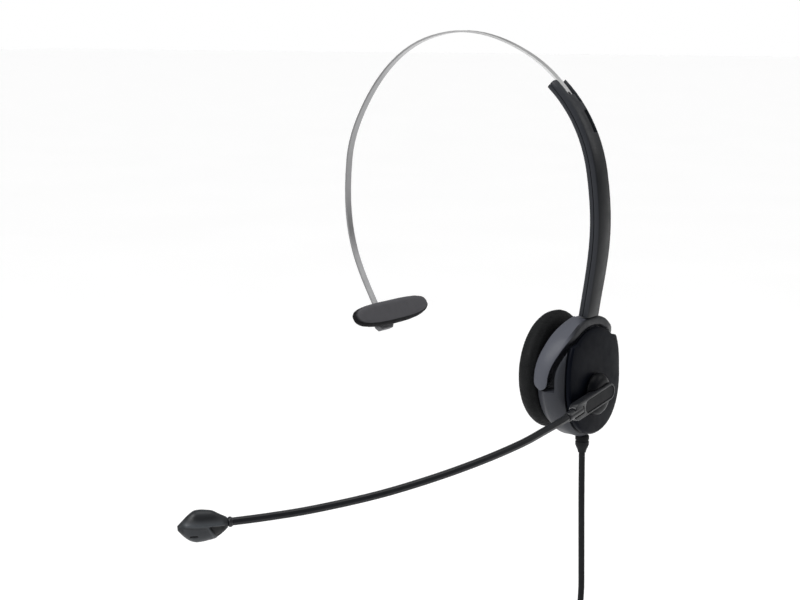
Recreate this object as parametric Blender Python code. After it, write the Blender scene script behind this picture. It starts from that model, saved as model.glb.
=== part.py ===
"""Single-ear office headset: spring-steel headband with a temple pad, a sliding side arm, a yoke, one ear cup,
a bent microphone boom, and a lead wound into a coil that ends in a plug.

All sizes below are in millimetres; MM turns them into metres.  The origin is the middle of the wearer's head at the
height of the ear-cup axis: +X points out through the ear cup, -Y points forward, +Z points up.
"""
import math

import bpy
import bmesh
from mathutils import Matrix, Vector

MM = 0.001
GAP = 0.3                      # air left between pieces that touch in the real object

# ---- driving dimensions -------------------------------------------------------------------------------------
BAND_X, BAND_Z = 0.3, 79.4     # centre of the headband's arc
BAND_R = 62.8                  # radius of the strip's middle line where it slides in the arm
ARM_TOP = 45.5                 # degrees from straight up, where the side arm's mouth is
ARM_JOIN = 84.0                # degrees, where arm and strip leave the arc
STRIP_TAIL = 64.0              # degrees, the strip's end inside the arm
STRIP_HALF_WIDTH = 1.8
STRIP_HALF_THICKNESS = 0.42

PIVOT_X = 52.5                 # the yoke's pivots on the cup lie on a line along Y at this X, at Z = 0
SWIVEL_X = 60.6                # the arm's swivel in the yoke, an upright line at Y = 0
HUB_Y, HUB_Z = -2.6, -7.2      # the boom's pivot line runs along X through this point
BOOM_SLOPE = math.radians(7.8)
COLLAR_X = 69.3                # the line of the collar that holds the boom's end in the holder

NECK_R = 20.4                  # the cup's neck, under the yoke
CAVITY_R = 19.2
LEG_INNER_R = 24.0             # inside radius of the yoke's legs
LENS_R, LENS_Z = 28.7, -6.9    # the hood's lower edge is an arc of this radius about this height
RIM_R = 23.5                   # mean radius of the cup's outer rim, which is a little squarer than a circle
CUSHION_Z = 1.0                # the cushion sits a little above the cup's axis
COVER_GAP = 1.3                # clearance between the cover and the hood, for the cup's tilt

CORD_X, CORD_R = 58.7, 1.35
COIL_X, COIL_Z, COIL_R = 59.5, -128.2, 14.3
COIL_RADIAL, COIL_AXIAL = 5.6, 6.9
PLUG_X = COIL_X + COIL_R

PAD_TILT = math.radians(28.0)
PAD_FACE = (-38.3, 0.0, 19.0)  # middle of the temple pad's face
PAD_Y = 0.2                    # the pad's middle along its length
PAD_AXIS_U, PAD_AXIS_W = -1.0, 8.6

BLACK = (0.022, 0.023, 0.026)
DARK = (0.035, 0.036, 0.040)
GREY = (0.085, 0.088, 0.098)
STEEL = (0.62, 0.62, 0.62)


# ---- building blocks ----------------------------------------------------------------------------------------
def paint(name, colour, rough, metallic):
    mat = bpy.data.materials.new(name)
    mat.use_nodes = True
    shader = mat.node_tree.nodes["Principled BSDF"]
    shader.inputs["Base Color"].default_value = (*colour, 1.0)
    shader.inputs["Roughness"].default_value = rough
    shader.inputs["Metallic"].default_value = metallic
    return mat


def link(name, data, colour, rough, metallic):
    obj = bpy.data.objects.new(name, data)
    bpy.context.scene.collection.objects.link(obj)
    data.materials.append(paint(name, colour, rough, metallic))
    return obj


def solid(name, rings, colour=DARK, rough=0.5, metallic=0.0, closed=False):
    """Skin over a row of rings of points; the ends are capped, or the last ring joins the first."""
    bm = bmesh.new()
    rows = [[bm.verts.new(Vector(p) * MM) for p in ring] for ring in rings]
    pairs = list(zip(rows, rows[1:]))
    if closed:
        pairs.append((rows[-1], rows[0]))
    for end in () if closed else (0, -1):
        if (Vector(rings[end][0]) - Vector(rings[end][1])).length > 1e-6:
            bm.faces.new(rows[end])
    for low, high in pairs:
        for i in range(len(low)):
            j = (i + 1) % len(low)
            bm.faces.new((low[i], low[j], high[j], high[i]))
    bmesh.ops.remove_doubles(bm, verts=bm.verts, dist=2e-6)
    bmesh.ops.recalc_face_normals(bm, faces=bm.faces)
    mesh = bpy.data.meshes.new(name)
    bm.to_mesh(mesh)
    bm.free()
    mesh.shade_smooth()
    mesh.set_sharp_from_angle(angle=math.radians(35))
    return link(name, mesh, colour, rough, metallic)


def lathe(name, profile, place, steps=32, **looks):
    """A turned piece.  profile is (distance along the axis, radius) pairs, either a closed loop off the axis or an
    outline that starts and ends on it; place(along, across, up) gives the point in space.
    """
    def ring(along, radius):
        angles = [2 * math.pi * k / steps for k in range(steps)]
        return [place(along, radius * math.cos(a), radius * math.sin(a)) for a in angles]

    if profile[0][1] > 0:
        return solid(name, [ring(*station) for station in profile], closed=True, **looks)
    stations = list(profile)
    if stations[0][0] == stations[1][0]:
        stations = stations[1:]
    if stations[-1][0] == stations[-2][0]:
        stations = stations[:-1]
    return solid(name, [ring(*station) for station in stations], **looks)


def turned(name, profile, axis="X", centre=(0, 0, 0), steps=32, **looks):
    order = {"X": (0, 1, 2), "Y": (1, 2, 0), "Z": (2, 0, 1)}[axis]

    def place(*values):
        p = list(centre)
        for i, value in zip(order, values):
            p[i] += value
        return p

    return lathe(name, profile, place, steps, **looks)


def rod(start, end, radius):
    """The profile of a plain round bar, or of a drill."""
    return [(start, 0), (start, radius), (end, radius), (end, 0)]


def washer(start, end, inner, outer):
    return [(start, inner), (start, outer), (end, outer), (end, inner)]


def block(name, low, high, **looks):
    ring = [(low[0], low[1]), (high[0], low[1]), (high[0], high[1]), (low[0], high[1])]
    return solid(name, [[(x, y, z) for x, y in ring] for z in (low[2], high[2])], **looks)


def tool(obj):
    obj.hide_render = True
    obj.display_type = "WIRE"
    return obj


def combine(target, other, operation="DIFFERENCE"):
    mod = target.modifiers.new(other.name, "BOOLEAN")
    mod.operation = operation
    mod.object = tool(other)


def tube(name, points, radius, resolution, **looks):
    """A round tube along a row of points."""
    curve = bpy.data.curves.new(name, "CURVE")
    curve.dimensions = "3D"
    curve.bevel_depth = radius * MM
    curve.bevel_resolution = resolution
    curve.use_fill_caps = True
    spline = curve.splines.new("POLY")
    spline.points.add(len(points) - 1)
    for point, place in zip(spline.points, points):
        point.co = (*(Vector(place) * MM), 1.0)
    return link(name, curve, looks.get("colour", DARK), looks.get("rough", 0.5), looks.get("metallic", 0.0))


def smooth_curve(route, spacing):
    """Points about every `spacing` along a Catmull-Rom curve through the route's own points."""
    pts = [Vector(p) for p in route]
    pts = [2 * pts[0] - pts[1]] + pts + [2 * pts[-1] - pts[-2]]
    out = []
    for a, b, c, d in zip(pts, pts[1:], pts[2:], pts[3:]):
        count = max(1, round((c - b).length / spacing))
        for k in range(count):
            t = k / count
            out.append(0.5 * ((2 * b) + (c - a) * t + (2 * a - 5 * b + 4 * c - d) * t ** 2
                              + (3 * b - a - 3 * c + d) * t ** 3))
    return out + [pts[-2]]


def ramp(value, low, high):
    t = min(1.0, max(0.0, (value - low) / (high - low)))
    return t * t * (3 - 2 * t)


def axis_empty(name, place):
    empty = bpy.data.objects.new(name, None)
    empty.empty_display_size = 0.01
    empty.location = Vector(place) * MM
    bpy.context.scene.collection.objects.link(empty)
    return empty


def hang_on(empty, pieces):
    for piece in pieces:
        piece.parent = empty
        piece.matrix_parent_inverse = Matrix.Translation(-empty.location)


# ---- the headband's path ------------------------------------------------------------------------------------
def arc_point(degrees, out=0.0):
    """A point (x, z) of the headband's arc, or `out` beyond it."""
    a = math.radians(degrees)
    return (BAND_X + (BAND_R + out) * math.sin(a), BAND_Z + (BAND_R + out) * math.cos(a))


def arc_station(degrees):
    """A point of the arc and its outward normal, as (x, z, normal x, normal z)."""
    a = math.radians(degrees)
    return (*arc_point(degrees), math.sin(a), math.cos(a))


def with_normals(points, side):
    """Stations along a row of points; side is 1 where they run down on the cup's side, -1 on their way to the pad."""
    stations = []
    for k, (x, z) in enumerate(points):
        d = Vector(points[min(k + 1, len(points) - 1)]) - Vector(points[max(k - 1, 0)])
        d.normalize()
        stations.append((x, z, -side * d.y, side * d.x))
    return stations


def bend(start, start_direction, end, end_direction, reach, count):
    """Points from `start`, without it, to `end` along a Bezier curve."""
    p0, p3 = Vector(start), Vector(end)
    p1 = p0 + Vector(start_direction) * reach[0]
    p2 = p3 - Vector(end_direction) * reach[1]
    points = []
    for k in range(1, count + 1):
        t = k / count
        points.append(tuple((1 - t) ** 3 * p0 + 3 * (1 - t) ** 2 * t * p1 + 3 * (1 - t) * t * t * p2 + t ** 3 * p3))
    return points


def spread(low, high, count):
    return [low + (high - low) * k / (count - 1) for k in range(count)]


def on_station(station, across, out, along=0.0):
    """A point given across the band, outward from it, and along it."""
    x, z, nx, nz = station
    return (x + out * nx + along * nz, across, z + out * nz - along * nx)


def swept(name, stations, section, **looks):
    """section(k) gives the outline at station k, as (across, outward) pairs."""
    rings = [[on_station(s, a, b) for a, b in section(k)] for k, s in enumerate(stations)]
    return solid(name, rings, **looks)


def arm_point(degrees):
    """The arm's middle line crosses the strip's arc: it starts 1.6 mm inside it and ends 0.9 mm outside it."""
    return arc_point(degrees, 0.9 - 2.5 * (ARM_JOIN - degrees) / (ARM_JOIN - ARM_TOP))


ARM_CURVE = [arm_point(a) for a in spread(ARM_TOP, ARM_JOIN, 12)]
ARM_PATH = with_normals(ARM_CURVE + bend(ARM_CURVE[-1], (0.163, -0.987), (60.8, 25.5), (-0.156, -0.988), (26.0, 24.0),
                                         12), 1)
ARM_FOOT = ARM_PATH[12:]


# ---- the cup's outline --------------------------------------------------------------------------------------
ENVELOPE = [(51.2, 25.4), (52.0, 25.8), (54.0, 26.0), (58.0, 26.0), (60.2, 25.7), (62.2, 24.9), (63.4, 24.2)]
HOUSING_PROFILE = [(49.6, 0), (49.6, 23.0), (51.4, 24.0), (53.4, 25.7), (54.4, 26.0), (58.0, 26.0), (60.2, 25.3),
                   (62.2, 24.0), (62.2, 0)]


def envelope(x):
    for (x0, r0), (x1, r1) in zip(ENVELOPE, ENVELOPE[1:]):
        if x <= x1:
            return r0 + (r1 - r0) * max(0.0, x - x0) / (x1 - x0)
    return ENVELOPE[-1][1]


def rim_shape(angle):
    """How much further out, or in, the rim is than a circle at this angle."""
    c, s = math.cos(angle), math.sin(angle)
    power = 2.5 if s > 0 else 2.15
    square = (abs(c) ** power + abs(s) ** power) ** (-1 / power)
    return square * (0.96 * c * c + 1.03 * s * s) - 0.03 * s


def rim_place(x, y, z):
    """Eases a round section into the rim's shape towards the cup's outer side."""
    share = ramp(x, 57.0, 62.0)
    grow = 1 + share * (rim_shape(math.atan2(z, y)) - 1)
    return (x, y * grow, z * grow)


def lens(angle):
    """Radius, seen from the cup's axis, of the arc that bounds the hood from below."""
    return LENS_Z * math.sin(angle) + math.sqrt(LENS_R ** 2 - (LENS_Z * math.cos(angle)) ** 2)


def sector(name, degrees, section, **looks):
    """A solid round the cup's axis; section(angle in degrees) gives (x, radius) pairs; 90 degrees is up."""
    rings = []
    for d in degrees:
        c, s = math.cos(math.radians(d)), math.sin(math.radians(d))
        rings.append([(x, r * c, r * s) for x, r in section(d)])
    return solid(name, rings, **looks)


def from_level(degrees):
    """Degrees above the pivots' level, the same on both sides of the cup."""
    return degrees if degrees <= 90 else 180 - degrees


# ---- ear cup ------------------------------------------------------------------------------------------------
def ear_cushion():
    """A plump ring, pressed flat where it meets the ear and where it is glued on."""
    outline = [(38.8, 14.8), (38.8, 21.2), (39.7, 23.2), (41.4, 24.9), (43.5, 25.8), (45.6, 26.0), (47.3, 25.2),
               (48.4, 23.4), (49.0, 22.0), (49.2, 20.0), (49.2, 14.0), (47.5, 11.6), (44.5, 10.4), (41.5, 11.2),
               (39.6, 13.0)]
    turned("ear_cushion", outline, centre=(0, 0, CUSHION_Z), steps=40, colour=BLACK, rough=0.8)


SCREW_ANGLES = (90, 210, 330)
SCREW_CIRCLE = 17.2


def screw_places():
    for d in SCREW_ANGLES:
        yield SCREW_CIRCLE * math.cos(math.radians(d)), SCREW_CIRCLE * math.sin(math.radians(d))


def housing():
    body = lathe("ear_cup_housing", HOUSING_PROFILE, rim_place, 56, colour=GREY, rough=0.45)

    def notch(d):
        edge = 58.8 + 4.6 * ramp(from_level(d), 5, 45)
        return [(45, NECK_R), (edge, NECK_R), (edge, 31), (45, 31)]

    combine(body, sector("cut_yoke_notch", spread(-8.5, 188.5, 41), notch))
    combine(body, turned("cut_cavity", [(48, 0), (48, 20.6), (50.9, 20.6), (50.9, CAVITY_R), (60.8, CAVITY_R),
                                        (60.8, 0)], steps=40))
    combine(body, sector("cut_lower_cavity", spread(202, 338, 15),
                         lambda d: [(53, 18.6), (60.8, 18.6), (60.8, 23.8), (53, 23.8)]))
    for k, (y, z) in enumerate(screw_places()):
        combine(body, turned(f"boss_{k}", rod(52.9, 61.5, 1.9), centre=(0, y, z), steps=12), "UNION")
        combine(body, turned(f"cut_boss_{k}", rod(52.0, 57.5, 1.0), centre=(0, y, z), steps=10))
    combine(body, turned("cut_hub_bore", rod(60.0, 63.0, 2.9), centre=(0, HUB_Y, HUB_Z), steps=20))
    combine(body, turned("cut_cable_hole", rod(-28, -20, 2.5), axis="Z", centre=(CORD_X, 0, 0), steps=16))
    combine(body, turned("cut_pivot_bore", rod(-23, 23, 1.4), axis="Y", centre=(PIVOT_X, 0, 0), steps=16))


def cover():
    """The domed outer cover: round, but cut back on top where the hood passes over it, and prouder lower down."""
    rings = []
    for d in spread(0, 360 - 7.5, 48):
        a = math.radians(d)
        below_hood = 3.0 * (1 - ramp(from_level(d if d < 270 else d - 360), 34, 42))
        edge = min(RIM_R * rim_shape(a), lens(a) - COVER_GAP + below_hood)
        ring = []
        for x, share in ((62.5, 0), (62.5, 0.985), (62.9, 1), (63.8, 1), (64.55, 0.97), (64.9, 0.9), (65.2, 0.55),
                         (65.25, 0)):
            r = edge * share
            slant = 0.035 * max(0.0, -r * math.sin(a)) if x > 63.5 else 0.0
            ring.append((x + slant, r * math.cos(a), r * math.sin(a)))
        rings.append(ring)
    body = solid("ear_cup_cover", rings, closed=True, colour=(0.012, 0.014, 0.020), rough=0.35)
    combine(body, turned("cut_cover_bore", rod(60, 68, 2.9), centre=(0, HUB_Y, HUB_Z), steps=20))


def baffle():
    plate = turned("speaker_baffle", rod(51.2, 52.6, 18.9), steps=40, colour=DARK, rough=0.6)
    for ring, (radius, count) in enumerate(((0, 1), (4.2, 6), (8.4, 12))):
        for k in range(count):
            a = 2 * math.pi * k / count
            place = (0, radius * math.cos(a), radius * math.sin(a))
            combine(plate, turned(f"cut_sound_{ring}_{k}", rod(50, 54, 0.9), centre=place, steps=8))
    for y in (17.5, -20.5):
        combine(plate, turned(f"cut_pin_notch_{y > 0}", rod(y, y + 3, 2.6), axis="Y", centre=(PIVOT_X, 0, 0), steps=12))
    for k, (y, z) in enumerate(screw_places()):
        combine(plate, turned(f"cut_screw_{k}", [(50, 0), (50, 1.9), (52.1, 1.9), (52.1, 1.0), (54, 1.0), (54, 0)],
                              centre=(0, y, z), steps=12))
        turned(f"cup_screw_{k + 1}", [(51.4, 0), (51.4, 1.5), (51.8, 1.5), (51.8, 0.7), (57.0, 0.7), (57.0, 0)],
               centre=(0, y, z), steps=12, colour=STEEL, rough=0.3, metallic=1.0)


def driver():
    basket = [(52.9, 11.6), (52.9, 14.8), (54.1, 14.8), (54.1, 13.6), (55.6, 9.8), (55.6, 8.4), (54.6, 8.4),
              (53.4, 11.4)]
    turned("driver_frame", basket, steps=32, colour=DARK, rough=0.5)
    dome = [(52.95, 0), (53.05, 4), (53.35, 8), (53.1, 11.2), (53.4, 11.2), (53.8, 8), (53.5, 4), (53.4, 0)]
    turned("driver_diaphragm", dome, steps=24, colour=(0.3, 0.28, 0.22), rough=0.4)
    turned("driver_magnet", [(55.1, 0), (55.1, 7.6), (55.5, 8.0), (57.4, 8.0), (57.8, 7.6), (57.8, 0)], steps=28,
           colour=STEEL, rough=0.3, metallic=1.0)


def cup():
    ear_cushion()
    turned("cushion_ring", washer(49.5, 50.4, 12.5, 20.0), steps=40, colour=DARK, rough=0.6)
    turned("speaker_cloth", rod(50.9, 51.05, 10.6), steps=24, colour=BLACK, rough=0.9)
    baffle()
    driver()
    housing()
    cover()
    block("circuit_board", (56.0, -7.0, -20.0), (57.2, 7.0, -12.5), colour=(0.03, 0.16, 0.07), rough=0.5)
    for side, name in ((-1, "cup_pivot_pin_front"), (1, "cup_pivot_pin_rear")):
        profile = [(side * y, r) for y, r in ((18.0, 0), (18.0, 1.8), (18.9, 1.8), (18.9, 1.1), (24.8, 1.1), (24.8, 0))]
        turned(name, profile, axis="Y", centre=(PIVOT_X, 0, 0), steps=16, colour=STEEL, rough=0.3, metallic=1.0)
    relief = [(-22.4, 0), (-22.4, 3.4), (-23.3, 3.4), (-23.3, 2.2), (-26.5, 2.2), (-26.5, 2.7), (-27.0, 3.0),
              (-28.4, 3.0), (-28.6, 2.7), (-29.0, 2.7), (-29.2, 3.0), (-30.6, 2.95), (-31.2, 2.7), (-33.0, 1.9),
              (-34.0, 1.7), (-34.0, 0)]

    def place(z, x, y):
        """The flange inside the cup is cut flat on the side where the cup's outer wall stands."""
        return (min(CORD_X + x, 60.4) if z > -23.5 else CORD_X + x, y, z)

    lathe("cable_strain_relief", relief, place, 20, colour=BLACK, rough=0.6)


# ---- yoke ---------------------------------------------------------------------------------------------------
def yoke():
    end = math.degrees(math.asin(3.3 / 25.0))
    degrees = [-end, -0.9 * end, -0.7 * end, -0.4 * end] + spread(0, 90, 17)
    degrees = degrees + [180 - d for d in reversed(degrees[:-1])]

    def section(d):
        level = from_level(d)
        half = 3.3 * math.sqrt(max(0.01, 1 - (min(level, 0) / end) ** 2))
        x0 = 52.1 - half + 7.0 * ramp(level, 5, 85)
        x1 = 52.1 + half + 7.8 * ramp(level, 0, 57)
        middle = (x0 + x1) / 2
        lip = min(LEG_INNER_R, lens(math.radians(max(level, 20))))
        outer = []
        for share, drop in ((0, 0.5), (0.12, 0), (0.5, 0), (0.88, 0), (1, 0.3)):
            x = x0 + (x1 - x0) * share
            eased = ramp(x, 57.0, 62.0) * (rim_shape(math.radians(d)) - 1)
            outer.append((x, (envelope(x) - drop) * (1 + eased)))
        return [(x0, LEG_INNER_R)] + outer + [(x1, lip), (middle + 0.2, lip), (middle, LEG_INNER_R)]

    body = sector("yoke", degrees, section, colour=(0.10, 0.105, 0.118), rough=0.4)
    combine(body, turned("cut_leg_bores", rod(-25.1, 25.1, 1.4), axis="Y", centre=(PIVOT_X, 0, 0), steps=16))
    combine(body, turned("cut_swivel_bore", [(18, 0), (18, 2.2), (23.7, 2.2), (23.7, 1.3), (30, 1.3), (30, 0)],
                         axis="Z", centre=(SWIVEL_X, 0, 0), steps=16))
    combine(body, turned("cut_arm_seat", rod(24.8, 30, 6.4), axis="Z", centre=(SWIVEL_X, 0, 0), steps=28))
    return [body]


# ---- side arm -----------------------------------------------------------------------------------------------
def arm_size(k):
    """Half width, outer face, inner face of the arm at station k."""
    grown = ramp(k, 4, 12)
    return 5.9 - 0.4 * ramp(k, 17, 23), 2.25 + 0.15 * grown, -2.25 - 0.2 * grown


def arm_shell(name, side):
    """One half of the arm, a channel that is open towards the other half and follows the strip's arc near its mouth."""
    def section(k):
        half, outer, inner = arm_size(k)
        face = outer if side > 0 else -inner
        hollow = max(1.45, min(2.1, 2.42 - 0.21 * k)) if side > 0 else 0.3 + 1.2 * ramp(k, 0.5, 2.5)
        wall = 2.6 + (half - 4.0) * ramp(k, 3.5, 6)
        corner = 1.3
        right = [(half, 0.15), (half, face - corner), (half - 0.3 * corner, face - 0.3 * corner),
                 (half - corner, face)]
        inside = [(wall, 0.15), (wall, hollow)]
        outline = right + [(-a, b) for a, b in reversed(right)]
        outline += [(-a, b) for a, b in inside] + list(reversed(inside))
        return [(a, side * b) for a, b in outline]

    return swept(name, ARM_PATH, section, colour=BLACK, rough=0.42)


def slot_cutter(name, stations, a0, a1, b0, b1):
    return swept(name, stations, lambda k: [(a0, b0), (a1, b0), (a1, b1), (a0, b1)])


def arm():
    outer = arm_shell("arm_outer_shell", 1)
    inner = arm_shell("arm_inner_shell", -1)
    for name, first, last, low in (("cut_mouth_notch", ARM_TOP - 2, 53.0, -2.6), ("cut_mouth_slot", 51.0, 56.5, 2.2),
                                   ("cut_window", 60.0, 69.5, 1.6)):
        stretch = with_normals([arm_point(a) for a in spread(first, last, 5)], 1)
        combine(outer, slot_cutter(name, stretch, low, 4.7, 0.6, 4.0))
    combine(outer, slot_cutter("cut_foot_slot", ARM_FOOT[-3:-1], 4.6, 9.0, 0.4, 4.0))
    screws = []
    for k, station in enumerate((ARM_FOOT[4], ARM_FOOT[7])):
        def across(name, profile, spot=station, **looks):
            return lathe(name, profile, lambda b, a, u: on_station(spot, a, b, u), 12, **looks)

        combine(outer, across(f"arm_boss_{k}", [(-1.1, 0), (-1.1, 2.0), (2.0, 2.0), (2.0, 0)]), "UNION")
        combine(outer, across(f"cut_arm_boss_{k}", [(-2.0, 0), (-2.0, 1.1), (1.2, 1.1), (1.2, 0)]))
        combine(inner, across(f"cut_arm_screw_{k}", [(-3.4, 0), (-3.4, 1.8), (-1.9, 1.8), (-1.9, 1.1), (-0.1, 1.1),
                                                     (-0.1, 0)]))
        head = [(-2.4, 0), (-2.4, 1.3), (-2.3, 1.5), (-2.2, 1.5), (-2.2, 0.8), (0.9, 0.8), (0.9, 0)]
        screws.append(across(f"arm_screw_{k + 1}", head, colour=STEEL, rough=0.3, metallic=1.0))

    def spring_section(k):
        middle = 2.95 + 0.25 * math.cos(math.pi * k / 2)
        return [(middle - 0.15, -0.8), (middle + 0.15, -0.8), (middle + 0.15, 1.1), (middle - 0.15, 1.1)]

    spring = swept("detent_spring", with_normals([arm_point(a) for a in spread(71, 83.5, 9)], 1), spring_section,
                   colour=STEEL, rough=0.25, metallic=1.0)
    clip = turned("swivel_clip", washer(22.5, 23.3, 1.3, 1.9), axis="Z", centre=(SWIVEL_X, 0, 0), steps=16,
                  colour=STEEL, rough=0.3, metallic=1.0)
    return [outer, inner, spring, swivel_pin(), clip] + screws


def swivel_pin():
    """A flat head held between the arm's halves, and a round shank down through the yoke."""
    rings = []
    for z, half_x, half_y, roundness in ((22.0, 0.7, 0.7, 1), (22.3, 1.0, 1.0, 1), (27.0, 1.0, 1.0, 1),
                                         (27.2, 1.15, 3.7, 0), (32.2, 1.15, 3.7, 0)):
        lean = 0.157 * (z - 26.4) if z > 27.1 else 0.0
        shift = 0.3 + lean if z > 27.1 else 0.0
        ring = []
        for k in range(12):
            a = 2 * math.pi * (k + 0.5) / 12
            c, s = math.cos(a), math.sin(a)
            if not roundness:
                c = max(-1.0, min(1.0, c / 0.7072))
                s = max(-1.0, min(1.0, s / 0.7072))
            ring.append((SWIVEL_X + shift + half_x * c, half_y * s, z))
        rings.append(ring)
    return solid("swivel_pin", rings, colour=STEEL, rough=0.3, metallic=1.0)


# ---- headband strip and its slider --------------------------------------------------------------------------
def pad_frame(u, y, w):
    """The temple pad's own frame: u up the pad, y along it, w from its face to its back."""
    c, s = math.cos(PAD_TILT), math.sin(PAD_TILT)
    return (PAD_FACE[0] - s * u - c * w, PAD_FACE[1] + y, PAD_FACE[2] + c * u - s * w)


STRIP_WAVE = ((-84, 0.85), (-60, 0.0), (-20, 2.0), (-10, 1.85), (28, 0.0))


def strip_point(degrees):
    """The relaxed strip is not quite round: STRIP_WAVE gives how far outside the arc it is at some angles."""
    out = 0.0
    for (low, before), (high, after) in zip(STRIP_WAVE, STRIP_WAVE[1:]):
        if low <= degrees <= high:
            out = before + (after - before) * ramp(degrees, low, high)
    return arc_point(degrees, out)


def strip_stations():
    points = [strip_point(a) for a in spread(STRIP_TAIL, -ARM_JOIN, 42)]
    x, _, z = pad_frame(3.0, 0.0, PAD_AXIS_W)
    end = (math.sin(PAD_TILT), -math.cos(PAD_TILT))
    return with_normals(points + bend(points[-1], (-0.105, -0.994), (x, z), end, (36.0, 22.0), 15), -1)


def strip_section(grow=0.0):
    half, thick = STRIP_HALF_WIDTH + grow, STRIP_HALF_THICKNESS + grow
    return [(-half, -thick), (half, -thick), (half, thick), (-half, thick)]


def rivet_shape(name, degrees, radius, low, high, **looks):
    """A round bar across the band at an angle of the arc."""
    spot = arc_station(degrees)
    return lathe(name, rod(low, high, radius), lambda b, a, u: on_station(spot, a, b, u), 10, **looks)


def band():
    strip = swept("headband_strip", strip_stations(), lambda k: strip_section(), colour=STEEL, rough=0.28, metallic=1.0)
    plate = swept("slider_plate", [arc_station(a) for a in spread(50.5, 57.5, 4)],
                  lambda k: [(-2.2, -1.2), (2.2, -1.2), (2.2, -0.75), (-2.2, -0.75)], colour=BLACK, rough=0.5)
    rivets = []
    for k, degrees in enumerate((52.0, 56.0)):
        for target, label in ((strip, "strip"), (plate, "plate")):
            combine(target, rivet_shape(f"cut_{label}_rivet_{k}", degrees, 1.0, -2.0, 3.0))
        rivets.append(rivet_shape(f"slider_rivet_{k + 1}", degrees, 0.7, -1.3, 0.55, colour=DARK, rough=0.4))
    return [strip, plate, pad_bracket()] + rivets


def pad_slab(name, outline, levels, **looks):
    """A slab in the pad's frame: levels are (w, inset) pairs, outline(inset) gives (y, u) pairs."""
    return solid(name, [[pad_frame(u, y, w) for y, u in outline(inset)] for w, inset in levels], **looks)


def pad_bore(name, half_length, radius, **looks):
    return lathe(name, rod(-half_length, half_length, radius),
                 lambda y, u, w: pad_frame(PAD_AXIS_U + u, y, PAD_AXIS_W + w), 12, **looks)


def pad_bracket():
    """The clip that holds the strip's end; its lower tip shows below the pad."""
    def outline(inset):
        half, top, bottom = 5.7 - inset, 6.4 - inset, -6.4 + inset
        return [(-half, bottom + 1.5), (-half + 1.5, bottom), (half - 1.5, bottom), (half, bottom + 1.5), (half, 2.0),
                (3.8 - inset, top), (-3.8 + inset, top), (-half, 2.0)]

    body = pad_slab("pad_bracket", outline, ((7.1, 0.3), (7.4, 0), (9.8, 0), (10.3, 0.5)),
                    colour=(0.16, 0.165, 0.175), rough=0.4)
    combine(body, swept("cut_strip_slot", strip_stations()[-5:], lambda k: strip_section(GAP)))
    x, _, z = pad_frame(2.2, 0.0, PAD_AXIS_W)
    nx, nz = -math.cos(PAD_TILT), -math.sin(PAD_TILT)
    end = [(x, z, nx, nz), (*[v for i, v in enumerate(pad_frame(4.0, 0.0, PAD_AXIS_W)) if i != 1], nx, nz)]
    combine(body, swept("cut_strip_slot_end", end, lambda k: strip_section(GAP)))
    combine(body, pad_bore("cut_bracket_bore", 9.0, 1.1))
    return body


def temple_pad():
    def pad_outline(inset, half_length=28.9, shrink=1.0):
        """Nearly flat along the top and fuller along the bottom."""
        points = []
        for k in range(36):
            a = 2 * math.pi * (k + 0.5) / 36
            c, s = math.cos(a), math.sin(a)
            high, power, long_power = (5.6, 0.60, 0.62) if s > 0 else (6.3, 0.86, 0.80)
            y = (half_length - inset) * math.copysign(abs(c) ** long_power, c)
            points.append((PAD_Y + y, (high - inset) * shrink * math.copysign(abs(s) ** power, s)))
        return points

    cushion = pad_slab("temple_pad_cushion", pad_outline, ((0.0, 1.2), (0.4, 0.4), (1.1, 0.0), (2.9, 0.0), (3.6, 0.7)),
                       colour=(0.06, 0.06, 0.062), rough=0.85)
    plate = pad_slab("pad_backplate", lambda inset: pad_outline(inset, 24.5, 0.78),
                     ((3.9, 0.2), (4.2, 0.0), (5.4, 0.0)), colour=DARK, rough=0.5)
    for side in (-1, 1):
        ends = (6.2 * side, 8.4 * side)
        lug = [[pad_frame(PAD_AXIS_U + u, y, w) for u, w in ((-1.8, 4.6), (-1.8, 8.6), (-1.3, 9.9), (0, 10.4),
                                                            (1.3, 9.9), (1.8, 8.6), (1.8, 4.6))] for y in ends]
        combine(plate, solid(f"lug_{side + 1}", lug), "UNION")
    combine(plate, pad_bore("cut_lug_bore", 9.5, 1.1))
    pin = pad_bore("pad_hinge_pin", 8.3, 0.8, colour=STEEL, rough=0.3, metallic=1.0)
    return [cushion, plate, pin]


# ---- boom and microphone ------------------------------------------------------------------------------------
def boom_frame(x, along, up):
    """along: forwards along the holder, up: across it."""
    c, s = math.cos(BOOM_SLOPE), math.sin(BOOM_SLOPE)
    return (x, HUB_Y - c * along - s * up, HUB_Z - s * along + c * up)


def boom_lathe(name, profile, x, **looks):
    """A turned piece along the holder's length."""
    return lathe(name, profile, lambda along, a, u: boom_frame(x + a, along, u), 16, **looks)


def stadium(name, x0, x1, back, front, radius, edge=0.0, **looks):
    """A bar with round ends, its long axis along the holder; the outer edge may be bevelled."""
    def outline(x, inset):
        ring = []
        for centre, start in ((front, -90), (back, 90)):
            for k in range(9):
                a = math.radians(start + 180 * k / 8)
                ring.append(boom_frame(x, centre + (radius - inset) * math.cos(a), (radius - inset) * math.sin(a)))
        return ring

    levels = [(x0, 0.0), (x1 - edge, 0.0)] + ([(x1, 0.6 * edge)] if edge else [])
    return solid(name, [outline(x, inset) for x, inset in levels], **looks)


BOOM_ROUTE = [(69.1, -36.0, -11.9), (67.2, -50.0, -14.4), (65.2, -63.0, -16.7), (59.5, -83.0, -20.1),
              (50.5, -104.0, -23.9), (39.0, -125.0, -27.5), (25.0, -145.0, -30.4), (14.0, -158.5, -31.9),
              (3.7, -169.9, -32.9)]
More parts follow.
